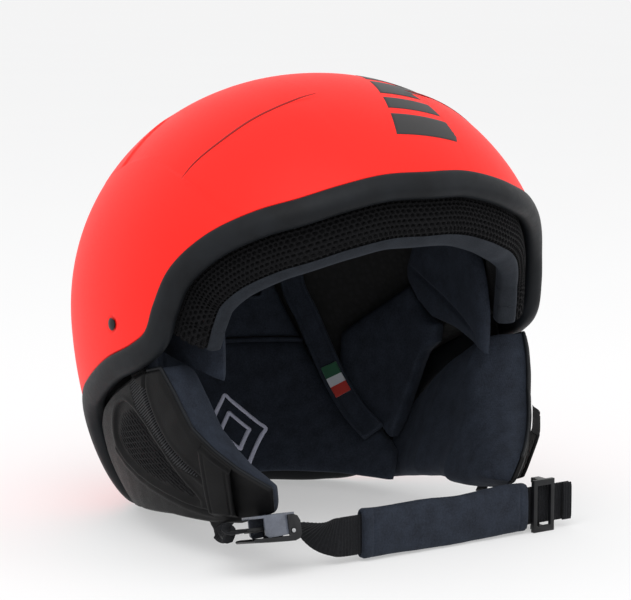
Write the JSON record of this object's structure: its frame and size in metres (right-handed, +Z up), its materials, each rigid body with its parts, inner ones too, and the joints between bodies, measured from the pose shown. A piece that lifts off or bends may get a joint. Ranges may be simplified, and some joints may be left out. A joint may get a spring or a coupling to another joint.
{
  "type": "ski helmet",
  "caption": "Open-face ski helmet with rubber edge trim, padded lining, soft ear pads and a padded ratchet-buckle chin strap.",
  "frame": {"origin": "middle of the helmet's box on the floor that it rests on", "axes": "+Z up, -Y the way the wearer faces, +X the wearer's left"},
  "size_m": [0.228, 0.2512, 0.2229],
  "materials": {
    "shell": "matte fluorescent red-orange, in-moulded",
    "foam": "black bead foam",
    "trim_rubber": "satin charcoal edge trim",
    "spacer_mesh": "black 3-D spacer mesh with staggered holes",
    "lining": "charcoal blue-grey brushed fleece",
    "vinyl": "black grained synthetic leather",
    "webbing": "black ribbed polyester webbing",
    "black_plastic": "black moulded plastic, satin gloss",
    "grey_plastic": "glossy blue-grey moulded plastic",
    "steel": "plain steel wire and pins"
  },
  "bodies": {
    "shell": {"outer_shell": "shell", "impact_liner": "foam", "rim_trim": "trim_rubber", "brow_pad": "spacer_mesh", "crown_pad": "spacer_mesh", "ear_mesh_left": "spacer_mesh", "ear_mesh_right": "spacer_mesh", "brow_lining": "lining", "nape_pad": "lining", "rear_pad": "lining", "temple_pad_left": "lining", "temple_pad_right": "lining", "side_pad_left": "lining", "side_pad_right": "lining", "rear_band_left": "lining", "rear_band_right": "lining", "ear_pad_left": "lining", "ear_pad_right": "lining", "ear_cover_left": "vinyl", "ear_cover_right": "vinyl", "strap_keeper_left": "vinyl", "strap_keeper_right": "vinyl", "strap_left": "webbing", "strap_right": "webbing", "strap_rivet_left": "black_plastic", "strap_rivet_right": "black_plastic", "buckle_tongue": "black_plastic", "goggle_clip_base": "black_plastic", "goggle_snap_stud": "black_plastic", "goggle_clip_pin": "steel"},
    "adjuster": {"strap_adjuster": "black_plastic", "strap_left_drop": "webbing"},
    "chin_strap": {"chin_webbing": "webbing", "webbing_tail_hem": "webbing", "buckle_frame": "grey_plastic", "buckle_pin": "steel", "strap_bar": "steel", "buckle_spring": "steel"},
    "lever": {"buckle_lever": "black_plastic"},
    "chin_sleeve": {"chin_pad": "lining"},
    "goggle_flap": {"goggle_clip_tab": "vinyl", "goggle_snap_cap": "black_plastic"}
  },
  "joints": [
    {"name": "buckle_release", "type": "slide", "parent": "shell", "child": "adjuster", "axis": [1, 0, 0], "range_m": [0, 0.016], "deforming": ["strap_left_drop"]},
    {"name": "strap_adjust", "type": "slide", "parent": "adjuster", "child": "chin_strap", "axis": [0.9976, 0.0698, 0], "range_m": [-0.003, 0.006]},
    {"name": "sleeve_slide", "type": "slide", "parent": "adjuster", "child": "chin_sleeve", "axis": [0.9976, 0.0698, 0], "range_m": [-0.002, 0.002]},
    {"name": "lever_lift", "type": "hinge", "parent": "chin_strap", "child": "lever", "pos_m": [-0.0645, -0.1006, 0.019], "axis": [0, -0.9703, 0.2419], "range_deg": [0, 15], "stiffness_Nm_per_rad": 0.02, "springref_deg": -8.59},
    {"name": "goggle_flap_hinge", "type": "hinge", "parent": "shell", "child": "goggle_flap", "pos_m": [0, 0.1227, 0.084], "axis": [1, 0, 0], "range_deg": [0, 100]}
  ]
}
